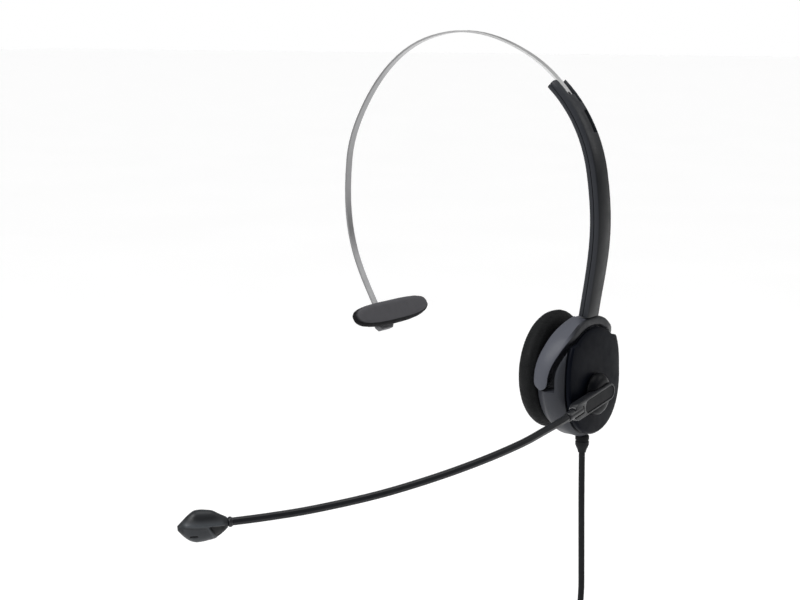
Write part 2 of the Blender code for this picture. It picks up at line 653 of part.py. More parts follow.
# distance along the microphone, height above and below its axis, half depth
MIC_STATIONS = ((1.0, 2.4, 1.8, 2.0), (3.0, 3.5, 2.9, 2.8), (5.5, 5.4, 4.8, 3.6), (9.5, 5.9, 5.4, 4.2),
                (12.2, 5.9, 5.6, 4.2), (14.6, 4.6, 5.1, 3.8), (16.6, 2.8, 3.5, 2.9), (18.6, 0.9, 0.9, 1.2))


def mic_frame(along, up, out):
    """Along the microphone's length from its neck, up it, and out towards the front."""
    end, before = Vector(BOOM_ROUTE[-1]), Vector(BOOM_ROUTE[-2])
    forward = (end - before).normalized()
    side = forward.cross(Vector((0, 0, 1))).normalized()
    top = side.cross(forward)
    return end + forward * along + top * up - side * out


def mic_body(name, thinner, **looks):
    """The drop-shaped outer form; `thinner` makes its hollow."""
    rings = []
    for along, above, below, half_depth in MIC_STATIONS:
        if thinner and not 2.0 < along < 17.0:
            continue
        ring = []
        for k in range(16):
            a = 2 * math.pi * k / 16
            c, s = math.cos(a), math.sin(a)
            ring.append(mic_frame(along, ((above if s > 0 else below) - thinner) * s, (half_depth - thinner) * c))
        rings.append(ring)
    return solid(name, rings, **looks)


def mic_half_space(name, side):
    """A box on one side of the microphone's parting plane, reaching a little past it."""
    low, high = -0.15 * side, 12.0 * side
    corners = ((-4, -10), (26, -10), (26, 10), (-4, 10))
    return solid(name, [[mic_frame(a, u, out) for a, u in corners] for out in (low, high)])


def mic_disc(name, radius, out0, out1, steps=16, **looks):
    return lathe(name, rod(out0, out1, radius), lambda out, a, u: mic_frame(10.8 + a, u, out), steps, **looks)


def boom():
    pieces = []
    dome = [(60.2, 0), (60.2, 2.6), (66.1, 2.6), (66.1, 8.8), (66.5, 9.0), (68.0, 8.7), (69.0, 7.8), (69.6, 6.4),
            (69.9, 3.8), (70.0, 0)]
    back, front = -4.8, 23.1
    hub = turned("boom_hub", dome, centre=(0, HUB_Y, HUB_Z), steps=36, colour=BLACK, rough=0.4)
    combine(hub, stadium("cut_holder_seat", 67.3, 75.0, back, front, 3.9))
    combine(hub, turned("cut_screw_bore", rod(59.0, 63.5, 1.0), centre=(0, HUB_Y, HUB_Z), steps=10))
    holder = stadium("boom_holder", 67.6, 71.0, back, front, 3.6, edge=0.4, colour=GREY, rough=0.35)
    combine(holder, stadium("cut_inlay_seat", 70.2, 75.0, back, 15.4, 2.7))
    combine(holder, boom_lathe("cut_collar_slot", rod(19.2, 30.0, 2.3), COLLAR_X))
    inlay = stadium("holder_inlay", 70.5, 70.8, back, 15.4, 2.4, colour=BLACK, rough=0.4)
    pieces += [hub, holder, inlay]
    collar = [(19.5, 0), (19.5, 1.7), (19.9, 2.0), (29.6, 2.0), (30.6, 1.9), (31.0, 1.7), (31.0, 0)]
    pieces.append(boom_lathe("boom_collar", collar, COLLAR_X, colour=GREY, rough=0.4))
    route = [boom_frame(COLLAR_X, 31.3, 0.0)] + BOOM_ROUTE
    pieces.append(tube("boom_tube", smooth_curve(route, 4.5), 1.6, 2, colour=BLACK, rough=0.45))
    pieces.append(turned("boom_washer", washer(59.3, 59.9, 1.0, 3.8), centre=(0, HUB_Y, HUB_Z), steps=20,
                         colour=STEEL, rough=0.3, metallic=1.0))
    screw = [(58.3, 0), (58.3, 1.8), (59.0, 1.8), (59.0, 0.7), (63.2, 0.7), (63.2, 0)]
    pieces.append(turned("boom_screw", screw, centre=(0, HUB_Y, HUB_Z), steps=12, colour=STEEL, rough=0.3,
                         metallic=1.0))
    for name, side in (("mic_cover_outer", 1), ("mic_housing_inner", -1)):
        half = mic_body(name, 0.0, colour=BLACK, rough=0.45)
        combine(half, mic_body(f"cut_hollow_{side}", 1.0))
        combine(half, mic_half_space(f"cut_parting_{side}", -side))
        pieces.append(half)
    combine(pieces[-1], mic_disc("cut_sound_port", 0.9, -8.0, 0.0, steps=10))
    pieces.append(mic_disc("mic_capsule", 2.7, -1.7, 1.0, colour=STEEL, rough=0.3, metallic=1.0))
    pieces.append(mic_disc("mic_screen", 1.9, -2.6, -2.0, colour=BLACK, rough=0.9))
    return pieces


# ---- lead, coil and plug ------------------------------------------------------------------------------------
CORD_ROUTE = [(58.7, 0, -34.3), (58.75, 0, -45.0), (58.9, 0, -58.0), (59.15, 0, -72.0), (59.4, 0, -86.0),
              (59.5, 0, -98.0), (59.5, 0, -107.9)]
TAIL_ROUTE = [(PLUG_X, 0, -143.4), (PLUG_X, 0, -147.0), (PLUG_X, 0, -151.5), (PLUG_X, 0, -156.0)]


def lead():
    tube("cord", smooth_curve(CORD_ROUTE, 6.0), CORD_R, 2, colour=BLACK, rough=0.5)
    tube("cord_tail", smooth_curve(TAIL_ROUTE, 6.0), CORD_R, 2, colour=BLACK, rough=0.5)
    coil = []
    for k in range(12):
        a = 2 * math.pi * (k + 0.5) / 12
        c, s = math.cos(a), math.sin(a)
        coil.append((COIL_AXIAL * math.copysign(abs(c) ** 0.6, c), COIL_R + COIL_RADIAL * math.copysign(abs(s) ** 0.6, s)))
    turned("cord_coil", coil, axis="Y", centre=(COIL_X, 0, COIL_Z), steps=36, colour=BLACK, rough=0.5)
    lean = math.radians(-38)

    def tie_ring(half_axial, half_radial, offset):
        """A rounded loop round the coil's bundle, at one place along the tie's width."""
        ring = []
        for k in range(16):
            a = 2 * math.pi * (k + 0.5) / 16
            c, s = math.cos(a), math.sin(a)
            r = COIL_R + half_radial * math.copysign(abs(s) ** 0.6, s)
            y = half_axial * math.copysign(abs(c) ** 0.6, c)
            turn = lean + offset / COIL_R
            ring.append((COIL_X + r * math.sin(turn), y, COIL_Z + r * math.cos(turn)))
        return ring

    loops = [tie_ring(7.7, 6.5, -2.5), tie_ring(8.4, 7.2, -2.5), tie_ring(8.4, 7.2, 2.5), tie_ring(7.7, 6.5, 2.5)]
    solid("coil_tie", loops, closed=True, colour=BLACK, rough=0.8)
    relief = [(-156.3, 0), (-156.3, 1.8), (-158.0, 2.0), (-165.5, 3.3), (-166.0, 3.3), (-166.0, 0)]
    turned("plug_strain_relief", relief, axis="Z", centre=(PLUG_X, 0, 0), steps=16, colour=BLACK, rough=0.6)

    def plug_box(name, half_x, half_y, levels, **looks):
        rings = []
        for z, inset in levels:
            hx, hy, cut = half_x - inset, half_y - inset, min(1.2, 0.3 * half_y)
            rings.append([(PLUG_X + x, y, z) for x, y in (
                (-hx + cut, -hy), (hx - cut, -hy), (hx, -hy + cut), (hx, hy - cut), (hx - cut, hy), (-hx + cut, hy),
                (-hx, hy - cut), (-hx, -hy + cut))])
        return solid(name, rings, **looks)

    plug_box("plug_body", 7.8, 4.0, ((-166.3, 0.8), (-167.2, 0.0), (-189.2, 0.0), (-190.0, 0.6)), colour=BLACK, rough=0.5)
    shell = plug_box("plug_shell", 6.0, 2.25, ((-190.3, 0.0), (-202.3, 0.0)), colour=STEEL, rough=0.25, metallic=1.0)
    combine(shell, block("cut_plug_mouth", (PLUG_X - 5.6, -1.85, -210.0), (PLUG_X + 5.6, 1.85, -191.0)))
    block("plug_tongue", (PLUG_X - 5.3, -0.1, -202.3), (PLUG_X + 5.3, 1.5, -191.4), colour=(0.8, 0.8, 0.8), rough=0.5)


def main():
    for obj in list(bpy.data.objects):
        bpy.data.objects.remove(obj, do_unlink=True)
    cup()
    lead()
    tilt = axis_empty("cup_tilt_axis", (PIVOT_X, 0, 0))
    swivel = axis_empty("arm_swivel_axis", (SWIVEL_X, 0, 26))
    slide = axis_empty("size_slide_axis", (BAND_X, 0, BAND_Z))
    pad_axis = axis_empty("pad_tilt_axis", pad_frame(PAD_AXIS_U, 0.0, PAD_AXIS_W))
    swing = axis_empty("boom_swing_axis", (66, HUB_Y, HUB_Z))
    hang_on(tilt, yoke() + [swivel])
    hang_on(swivel, arm() + [slide])
    hang_on(slide, band() + [pad_axis])
    hang_on(pad_axis, temple_pad())
    hang_on(swing, boom())


main()
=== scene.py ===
"""The looks of the one-ear office headset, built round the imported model.

It adds the camera and studio, the wound lead, the padded cushions, the microphone's smooth shell and its
neck ring, and it gives every piece a procedural material.
"""
import math

import bmesh
import bpy
import numpy as np
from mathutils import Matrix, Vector, noise


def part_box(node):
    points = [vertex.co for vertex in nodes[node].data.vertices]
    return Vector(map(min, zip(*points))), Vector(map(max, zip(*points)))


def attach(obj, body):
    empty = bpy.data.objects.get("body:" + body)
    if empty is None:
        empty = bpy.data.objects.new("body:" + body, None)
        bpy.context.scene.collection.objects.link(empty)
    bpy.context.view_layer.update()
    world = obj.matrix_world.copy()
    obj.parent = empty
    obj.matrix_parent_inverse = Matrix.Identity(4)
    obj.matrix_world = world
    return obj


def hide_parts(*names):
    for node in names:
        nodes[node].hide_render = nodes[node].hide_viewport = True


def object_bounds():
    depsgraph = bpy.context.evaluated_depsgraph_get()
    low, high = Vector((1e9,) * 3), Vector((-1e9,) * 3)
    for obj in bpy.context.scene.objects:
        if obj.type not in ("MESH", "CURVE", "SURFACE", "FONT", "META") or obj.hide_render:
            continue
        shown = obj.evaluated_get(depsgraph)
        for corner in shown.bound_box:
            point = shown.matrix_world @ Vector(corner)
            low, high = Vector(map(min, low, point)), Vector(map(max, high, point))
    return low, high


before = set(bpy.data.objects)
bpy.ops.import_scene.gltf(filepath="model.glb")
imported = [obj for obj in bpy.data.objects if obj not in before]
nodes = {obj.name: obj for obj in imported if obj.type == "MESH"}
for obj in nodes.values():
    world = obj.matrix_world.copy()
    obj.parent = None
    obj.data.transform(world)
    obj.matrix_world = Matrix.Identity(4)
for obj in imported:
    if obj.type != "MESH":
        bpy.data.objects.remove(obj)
cad_box = [list(corner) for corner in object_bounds()]
MM = 0.001

# ---- camera and studio ---------------------------------------------------------------------------
# Places, distances and widths in this section are in metres.
VIEW_TARGET = Vector((-35.2, 0.0, 23.5)) * MM
VIEW_AZIMUTH = math.radians(34.0)
VIEW_ELEVATION = math.radians(9.0)
VIEW_DISTANCE = 0.790
CLIP_START = 0.01
CLIP_END = 50.0
LENS = 78.57                   # in millimetres, and so is the sensor
SENSOR_WIDTH = 36.0


def add(name, data):
    obj = bpy.data.objects.new(name, data)
    bpy.context.scene.collection.objects.link(obj)
    return obj


def aim(obj, place, target):
    obj.location = place
    obj.rotation_euler = (Vector(target) - Vector(place)).to_track_quat("-Z", "Y").to_euler()


def camera():
    data = bpy.data.cameras.new("camera")
    data.lens = LENS
    data.sensor_width = SENSOR_WIDTH
    data.clip_start = CLIP_START
    data.clip_end = CLIP_END
    cam = add("camera", data)
    a, e = VIEW_AZIMUTH, VIEW_ELEVATION
    back = Vector((math.sin(a) * math.cos(e), -math.cos(a) * math.cos(e), math.sin(e)))
    aim(cam, VIEW_TARGET + VIEW_DISTANCE * back, VIEW_TARGET)
    bpy.context.scene.camera = cam


def area_light(name, place, target, size, power):
    data = bpy.data.lights.new(name, "AREA")
    data.shape = "DISK"
    data.size = size
    data.energy = power
    aim(add(name, data), place, target)


def sun(name, place, strength, spread):
    data = bpy.data.lights.new(name, "SUN")
    data.energy = strength
    data.angle = math.radians(spread)
    aim(add(name, data), place, (0, 0, 0))


WORLD_LIGHT = 0.30             # what the surroundings give the object
FLOOR_GLOW = 0.14              # lifts the floor nearly to the backdrop's white
FLOOR_DROP = 0.25              # from the lowest piece down to the floor
FLOOR_HALF = 30
LIGHTS_AIM = (0.0, 0.0, 0.03)
# Each sun: its name, where it shines from, its strength, and its spread in degrees.
SUNS = (("key", (-0.45, -0.9, 0.95), 2.3, 35.0),
        ("fill", (0.8, 0.6, 1.0), 0.35, 60.0))
# Each area light: its name, place, width and power.
AREA_LIGHTS = (("top", (0.1, 0.1, 1.6), 1.2, 9.0),
               ("rim", (0.9, 1.1, 0.7), 0.7, 2.0))


def lay_floor():
    floor_z = cad_box[0][2] - FLOOR_DROP
    corners = ((-1, -1), (1, -1), (1, 1), (-1, 1))
    mesh = bpy.data.meshes.new("floor")
    mesh.from_pydata([(FLOOR_HALF * x, FLOOR_HALF * y, floor_z) for x, y in corners], [], [(0, 1, 2, 3)])
    floor = add("floor", mesh)
    floor_paint = plain("floor_paint", (0.97, 0.97, 0.97), 0.9, specular=0.1)
    glow = floor_paint.node_tree.nodes["Principled BSDF"]
    glow.inputs["Emission Color"].default_value = (1, 1, 1, 1)
    glow.inputs["Emission Strength"].default_value = FLOOR_GLOW
    floor.data.materials.append(floor_paint)


def surround():
    """A world that lights the headset softly and that the camera sees as plain white."""
    world = bpy.data.worlds.new("studio")
    world.use_nodes = True
    tree = world.node_tree
    light = tree.nodes["Background"]
    light.inputs["Color"].default_value = (1, 1, 1, 1)
    light.inputs["Strength"].default_value = WORLD_LIGHT
    backdrop = tree.nodes.new("ShaderNodeBackground")
    backdrop.inputs["Color"].default_value = (1, 1, 1, 1)
    seen = tree.nodes.new("ShaderNodeLightPath")
    mixed = tree.nodes.new("ShaderNodeMixShader")
    tree.links.new(seen.outputs["Is Camera Ray"], mixed.inputs[0])
    tree.links.new(light.outputs[0], mixed.inputs[1])
    tree.links.new(backdrop.outputs[0], mixed.inputs[2])
    tree.links.new(mixed.outputs[0], tree.nodes["World Output"].inputs["Surface"])
    bpy.context.scene.world = world


def studio():
    lay_floor()
    surround()
    for name, place, strength, spread in SUNS:
        sun(name, place, strength, spread)
    for name, place, size, power in AREA_LIGHTS:
        area_light(name, place, LIGHTS_AIM, size, power)
    bpy.context.scene.view_settings.view_transform = "Standard"


# ---- shared shape --------------------------------------------------------------------------------
PAD_TILT = math.radians(28.0)
PAD_FACE = Vector((-38.3, 0.2, 19.0))


def pad_frame(u, y, w):
    """The temple pad's own frame: u up the pad, y along it, w from its face to its back."""
    c, s = math.cos(PAD_TILT), math.sin(PAD_TILT)
    return Vector((PAD_FACE.x - s * u - c * w, PAD_FACE.y + y, PAD_FACE.z + c * u - s * w))


# ---- materials -----------------------------------------------------------------------------------
class Paint:
    """A node material: a Principled shader, and short ways to hang textures on it."""

    def __init__(self, name):
        self.material = bpy.data.materials.new(name)
        self.material.use_nodes = True
        self.tree = self.material.node_tree
        self.shader = self.tree.nodes["Principled BSDF"]
        self.place = self.node("ShaderNodeTexCoord").outputs["Object"]

    def node(self, kind, **settings):
        made = self.tree.nodes.new(kind)
        for key, value in settings.items():
            setattr(made, key, value)
        return made

    def wire(self, source, target):
        self.tree.links.new(source, target)

    def noise(self, size, detail=2.0, stretch=None):
        """Noise with features about `size` millimetres across, divided by the stretch along X, Y and Z."""
        made = self.node("ShaderNodeTexNoise")
        made.inputs["Scale"].default_value = 1 / (size * MM)
        made.inputs["Detail"].default_value = detail
        if stretch:
            mapping = self.node("ShaderNodeMapping")
            mapping.inputs["Scale"].default_value = stretch
            self.wire(self.place, mapping.inputs["Vector"])
            self.wire(mapping.outputs["Vector"], made.inputs["Vector"])
        else:
            self.wire(self.place, made.inputs["Vector"])
        return made.outputs["Fac"]

    def cells(self, size):
        """Irregular cells about `size` millimetres across: 0 at their borders, more towards the middle."""
        made = self.node("ShaderNodeTexVoronoi", feature="DISTANCE_TO_EDGE")
        made.inputs["Scale"].default_value = 1 / (size * MM)
        self.wire(self.place, made.inputs["Vector"])
        return made.outputs["Distance"]

    def scaled(self, source, low, high, source_low=0.3, source_high=0.7):
        """The source's range, by default where most of a noise lies, carried over to `low` and `high`."""
        made = self.node("ShaderNodeMapRange")
        limits = {"From Min": source_low, "From Max": source_high, "To Min": low, "To Max": high}
        for key, value in limits.items():
            made.inputs[key].default_value = value
        self.wire(source, made.inputs["Value"])
        return made.outputs["Result"]

    def colours(self, source, dark, light):
        made = self.node("ShaderNodeMix", data_type="RGBA")
        made.inputs["A"].default_value = (*dark, 1)
        made.inputs["B"].default_value = (*light, 1)
        self.wire(source, made.inputs["Factor"])
        self.wire(made.outputs["Result"], self.shader.inputs["Base Color"])

    def bump(self, source, depth, strength=1.0):
        """Depth in millimetres; a second call adds to the first."""
        made = self.node("ShaderNodeBump")
        made.inputs["Distance"].default_value = depth * MM
        made.inputs["Strength"].default_value = strength
        self.wire(source, made.inputs["Height"])
        earlier = self.shader.inputs["Normal"].links
        if earlier:
            self.wire(earlier[0].from_socket, made.inputs["Normal"])
        self.wire(made.outputs["Normal"], self.shader.inputs["Normal"])

    def facing(self, direction, low, high):
        """0 to 1 as the surface turns from `low` to `high` of the way to a direction of the piece's own."""
        coordinates = self.node("ShaderNodeTexCoord")
        product = self.node("ShaderNodeVectorMath", operation="DOT_PRODUCT")
        product.inputs[1].default_value = direction
        self.wire(coordinates.outputs["Normal"], product.inputs[0])
        return self.scaled(product.outputs["Value"], 0, 1, low, high)

    def maths(self, operation, first, second=None):
        made = self.node("ShaderNodeMath", operation=operation)
        for socket, value in zip(made.inputs, (first, second)):
            if isinstance(value, (int, float)):
                socket.default_value = value
            elif value is not None:
                self.wire(value, socket)
        return made.outputs["Value"]

    def reading(self, direction, origin):
        """How far along a direction each point lies from an origin, in millimetres."""
        product = self.node("ShaderNodeVectorMath", operation="DOT_PRODUCT")
        product.inputs[1].default_value = Vector(direction) / MM
        self.wire(self.place, product.inputs[0])
        return self.maths("SUBTRACT", product.outputs["Value"], Vector(direction).dot(origin))

    def gloss(self, size, detail, low, high):
        """Roughness from `low` to `high`, in patches about `size` millimetres across."""
        self.wire(self.scaled(self.noise(size, detail), low, high), self.shader.inputs["Roughness"])

    def fixed(self, **values):
        names = {"metallic": "Metallic", "specular": "Specular IOR Level", "sheen": "Sheen Weight",
                 "rough": "Roughness"}
        for key, value in values.items():
            self.shader.inputs[names[key]].default_value = value


def times(colour, factor):
    return tuple(min(1.0, c * factor) for c in colour)


def plain(name, colour, rough, **fixed):
    paint = Paint(name)
    paint.colours(paint.scaled(paint.noise(400.0), 0, 1), times(colour, 0.99), times(colour, 1.01))
    paint.fixed(rough=rough, **fixed)
    return paint.material


GRAIN = 0.35                   # the spark-eroded grain of moulded plastic, in millimetres
GRAIN_DEPTH = 0.012


def moulded(name, colour, rough, depth=GRAIN_DEPTH, specular=0.35):
    """Moulded plastic: a fine spark-eroded grain, faint flow marks, and uneven gloss."""
    paint = Paint(name)
    paint.colours(paint.scaled(paint.noise(9.0), 0, 1), times(colour, 0.88), times(colour, 1.12))
    paint.gloss(5.0, 4.0, rough - 0.06, rough + 0.07)
    paint.bump(paint.noise(GRAIN, 3.0), depth)
    paint.bump(paint.noise(14.0), 0.05, 0.4)
    paint.fixed(specular=specular)
    return paint.material


def painted_facing_shade(name, pale, dark, direction, low, high, rough, specular):
    """Moulded plastic with light and shade painted into its colour: dark where it faces a direction of its
    own, and pale elsewhere.
    """
    paint = Paint(name)
    # Painted shade: the colour darkens as the surface turns towards the direction, and stays pale as
    # painted light elsewhere.
    paint.colours(paint.facing(direction, low, high), pale, dark)
    paint.gloss(5.0, 4.0, rough - 0.06, rough + 0.07)
    paint.bump(paint.noise(GRAIN, 3.0), GRAIN_DEPTH)
    paint.fixed(specular=specular)
    return paint.material


CREASE = 0.18                  # the distance from a cell's border at which a pebble is at its full height


def leatherette(name, colour, rough, cell):
    """Coated fabric: an irregular pebble grain with creases between the cells, painted darker there as
    shade.
    """
    paint = Paint(name)
    pebbles = paint.scaled(paint.cells(cell), 0, 1, 0.0, CREASE)
    # Painted shade: the colour darkens towards the creases between the cells.
    paint.colours(pebbles, times(colour, 0.6), times(colour, 1.1))
    paint.gloss(4.0, 4.0, rough - 0.08, rough + 0.1)
    paint.bump(pebbles, 0.05, 0.8)
    paint.bump(paint.noise(0.25, 2.0), 0.01)
    paint.fixed(specular=0.12)
    return paint.material


def brushed(name, colour, rough, stretch):
    """Rolled or brushed metal, with gloss and tone in lines that follow the stretch."""
    paint = Paint(name)
    lines = paint.noise(8.0, 4.0, stretch)
    paint.colours(paint.scaled(lines, 0, 1), times(colour, 0.9), times(colour, 1.05))
    paint.wire(paint.scaled(lines, rough - 0.05, rough + 0.08), paint.shader.inputs["Roughness"])
    paint.fixed(metallic=1.0)
    return paint.material


WAVES_A_UNIT = 0.314           # turns a wave texture's scale into waves of one unit each


def cloth(name, colour, pitch):
    """Plain weave: two sets of threads across each other, `pitch` millimetres apart."""
    paint = Paint(name)
    threads = []
    for axis in ("Y", "Z"):
        wave = paint.node("ShaderNodeTexWave", bands_direction=axis)
        wave.inputs["Scale"].default_value = WAVES_A_UNIT / (pitch * MM)
        wave.inputs["Distortion"].default_value = 0.4
        paint.wire(paint.place, wave.inputs["Vector"])
        threads.append(wave.outputs["Fac"])
    weave = paint.maths("MAXIMUM", threads[0], threads[1])
    paint.colours(weave, times(colour, 0.4), colour)
    paint.bump(weave, 0.08)
    paint.fixed(rough=0.9, sheen=0.3, specular=0.2)
    return paint.material


def rubber(name, colour, rough):
    """Soft matt rubber with a faint grain."""
    paint = Paint(name)
    paint.colours(paint.scaled(paint.noise(3.0, 3.0), 0, 1), times(colour, 0.8), times(colour, 1.2))
    paint.gloss(2.0, 3.0, rough - 0.08, rough + 0.08)
    paint.bump(paint.noise(0.5, 3.0), 0.012)
    paint.fixed(specular=0.15)
    return paint.material


# Along X in millimetres, where the band's painted shade is deepest and where its painted light is
# brightest.
BAND_PAINTED_SHADE_X = -45.0
BAND_PAINTED_LIGHT_X = 38.0


def band_paint():
    """Satin spring steel with light and shade painted along it: brighter at the slider's end and darker
    towards the pad.
    """
    paint = Paint("band_steel")
    x_mm = paint.reading((1, 0, 0), Vector((0, 0, 0)))
    across = paint.scaled(x_mm, 0, 1, BAND_PAINTED_SHADE_X, BAND_PAINTED_LIGHT_X)
    # Painted light and shade: the colour runs from dark at the pad's end to bright at the slider's end.
    paint.colours(across, (0.30, 0.30, 0.305), (0.92, 0.92, 0.92))
    paint.gloss(8.0, 4.0, 0.27, 0.38)
    paint.fixed(metallic=1.0)
    return paint.material


PANEL_HALF_LENGTH = 27.6       # the pad's paler panel, a rounded oval a little above the pad's middle
PANEL_HALF_HEIGHT = 4.9
PANEL_RAISE = 0.45


def pad_cover_paint():
    """Leatherette with a paler face panel inside a dark welt, broader along the pad's lower edge."""
    paint = Paint("pad_leatherette")
    origin = pad_frame(0, 0, 0)
    y_mm = paint.reading((0, 1, 0), origin)
    u_mm = paint.reading(pad_frame(1, 0, 0) - origin, origin)
    w_mm = paint.reading(pad_frame(0, 0, 1) - origin, origin)
    shifted = paint.maths("ADD", u_mm, -PANEL_RAISE)

    def share(distance, half, power):
        return paint.maths("POWER", paint.maths("ABSOLUTE", paint.maths("DIVIDE", distance, half)), power)

    oval = paint.maths("ADD", share(y_mm, PANEL_HALF_LENGTH, 2.8), share(shifted, PANEL_HALF_HEIGHT, 2.6))
    outside = paint.scaled(oval, 0, 1, 0.93, 1.07)
    behind = paint.scaled(w_mm, 0, 1, 1.1, 1.4)
    welt = paint.maths("MAXIMUM", outside, behind)
    pebbles = paint.scaled(paint.cells(0.8), 0, 1, 0.0, CREASE)
    paint.colours(welt, (0.082, 0.081, 0.088), (0.0050, 0.0050, 0.0062))
    paint.gloss(4.0, 4.0, 0.62, 0.78)
    paint.bump(pebbles, 0.04, 0.8)
    paint.fixed(specular=0.12)
    return paint.material


def microphone_paint():
    """Black plastic with light and shade painted in: painted highlights along the crest and on the stepped
    face, painted shade down in the hollow.
    """
    paint = Paint("microphone_plastic")
    painted_light = paint.node("ShaderNodeAttribute", attribute_name="painted_light")
    # Painted light and shade: pale where the points are marked as lit, dark where they are marked as
    # shaded.
    paint.colours(painted_light.outputs["Fac"], (0.0035, 0.004, 0.005), (0.062, 0.068, 0.076))
    paint.gloss(3.0, 4.0, 0.36, 0.48)
    paint.bump(paint.noise(0.3, 3.0), 0.008)
    paint.fixed(specular=0.25)
    return paint.material


def materials():
    return {
        # The housing, yoke and arm carry painted light and shade: paler on the sides towards the key light,
        # darker where they face outward, away from it.
        "housing": painted_facing_shade("housing_plastic", (0.029, 0.031, 0.038), (0.007, 0.008, 0.011),
                            direction=(1, 0, 0.25), low=0.45, high=0.8, rough=0.45, specular=0.25),
        "yoke": painted_facing_shade("yoke_plastic", (0.072, 0.076, 0.092), (0.008, 0.009, 0.012),
                         direction=(1, 0.35, 0.15), low=0.35, high=0.65, rough=0.45, specular=0.25),
        "cover": moulded("cover_plastic", (0.0022, 0.0030, 0.0058), 0.42, depth=0.008, specular=0.04),
        "arm": painted_facing_shade("arm_plastic", (0.024, 0.026, 0.031), (0.0050, 0.0058, 0.0075),
                        direction=(1, 0, 0), low=0.72, high=0.98, rough=0.36, specular=0.18),
        "black": moulded("black_plastic", (0.0062, 0.0070, 0.0088), 0.36, depth=0.008, specular=0.24),
        "hub": moulded("hub_plastic", (0.0022, 0.0026, 0.0040), 0.34, depth=0.004, specular=0.07),
        "holder": moulded("holder_plastic", (0.0100, 0.0108, 0.0130), 0.30, specular=0.34),
        "inner": moulded("inner_plastic", (0.02, 0.021, 0.023), 0.6),
        "tab": moulded("tab_plastic", (0.105, 0.105, 0.112), 0.45),
        "steel_band": band_paint(),
        "steel": brushed("small_steel", (0.60, 0.60, 0.60), 0.30, (8.0, 8.0, 8.0)),
        "plug_metal": brushed("plug_metal", (0.70, 0.70, 0.71), 0.22, (20.0, 20.0, 1.0)),
        "ear": leatherette("ear_leatherette", (0.0072, 0.0077, 0.0082), 0.66, 0.9),
        "pad": pad_cover_paint(),
        "mic": microphone_paint(),
        "cloth": cloth("speaker_cloth", (0.03, 0.03, 0.032), 0.5),
        "tie": cloth("tie_fabric", (0.02, 0.02, 0.021), 0.7),
        "film": plain("diaphragm_film", (0.30, 0.28, 0.22), 0.35),
        "board": moulded("solder_mask", (0.02, 0.12, 0.05), 0.4),
        "white": moulded("white_plastic", (0.75, 0.75, 0.74), 0.45),
        "rubber": rubber("cord_rubber", (0.0085, 0.0090, 0.0105), 0.6),
    }


# ---- CAD nodes that stay -------------------------------------------------------------------------
FINISHES = {
    "housing": ("ear_cup_housing",),
    "yoke": ("yoke",),
    "cover": ("ear_cup_cover",),
    "arm": ("arm_outer_shell", "arm_inner_shell"),
    "hub": ("boom_hub", "holder_inlay"),
    "black": ("boom_tube", "slider_plate", "plug_body"),
    "holder": ("boom_holder", "boom_collar"),
    "inner": ("cushion_ring", "speaker_baffle", "driver_frame", "pad_backplate", "slider_rivet_1",
              "slider_rivet_2"),
    "tab": ("pad_bracket",),
    "steel_band": ("headband_strip",),
    "steel": ("driver_magnet", "cup_screw_1", "cup_screw_2", "cup_screw_3", "cup_pivot_pin_front",
              "cup_pivot_pin_rear", "detent_spring", "swivel_pin", "swivel_clip", "arm_screw_1",
              "arm_screw_2", "pad_hinge_pin", "boom_washer", "boom_screw", "mic_capsule"),
    "plug_metal": ("plug_shell",),
    "cloth": ("speaker_cloth", "mic_screen"),
    "tie": ("coil_tie",),
    "film": ("driver_diaphragm",),
    "board": ("circuit_board",),
    "white": ("plug_tongue",),
    "rubber": ("cable_strain_relief", "plug_strain_relief"),
}
# How wide a node's edges are rounded, in millimetres.
SOFTER_EDGES = {"yoke": 0.5, "ear_cup_cover": 0.3, "ear_cup_housing": 0.3, "arm_outer_shell": 0.6,
                "arm_inner_shell": 0.4, "boom_holder": 0.25, "boom_hub": 0.3, "pad_bracket": 0.3,
                "plug_body": 0.4}
ROUNDED_ABOVE = math.radians(38)   # edges that turn by more than this are rounded
SHARP_ABOVE = math.radians(32)     # edges that turn by more than this are shaded sharp
WELD_GAP = 1e-6                    # metres


def finish_nodes(paints):
    """Welds, softens and smooths each node's edges with modifiers, and paints it."""
    for finish, names in FINISHES.items():
        for name in names:
            obj = nodes[name]
            obj.data.materials.clear()
            obj.data.materials.append(paints[finish])
            for extra in ("custom_normal", "sharp_edge", "sharp_face"):
                if extra in obj.data.attributes:
                    obj.data.attributes.remove(obj.data.attributes[extra])
            obj.data.shade_smooth()
            weld = obj.modifiers.new("weld", "WELD")
            weld.merge_threshold = WELD_GAP
            if name in SOFTER_EDGES:
                bevel = obj.modifiers.new("bevel", "BEVEL")
                bevel.width = SOFTER_EDGES[name] * MM
                bevel.segments = 2
                bevel.limit_method = "ANGLE"
                bevel.angle_limit = ROUNDED_ABOVE
            split = obj.modifiers.new("edges", "EDGE_SPLIT")
            split.split_angle = SHARP_ABOVE
            split.use_edge_sharp = False


# ---- mesh building -------------------------------------------------------------------------------
def mesh_object(name, rings, material, closed_rows=False):
    """A skin over rings of points in millimetres, capped at both ends or joined round to the first."""
    bm = bmesh.new()
    rows = [[bm.verts.new(Vector(p) * MM) for p in ring] for ring in rings]
    pairs = list(zip(rows, rows[1:])) + ([(rows[-1], rows[0])] if closed_rows else [])
    for low, high in pairs:
        for i in range(len(low)):
            j = (i + 1) % len(low)
            bm.faces.new((low[i], low[j], high[j], high[i]))
    if not closed_rows:
        bm.faces.new(rows[0])
        bm.faces.new(rows[-1])
    bmesh.ops.recalc_face_normals(bm, faces=bm.faces)
    mesh = bpy.data.meshes.new(name)
    bm.to_mesh(mesh)
    bm.free()
    mesh.shade_smooth()
    mesh.materials.append(material)
    return add(name, mesh)


def subdivide(obj):
    modifier = obj.modifiers.new("subdivision", "SUBSURF")
    modifier.levels = modifier.render_levels = 1


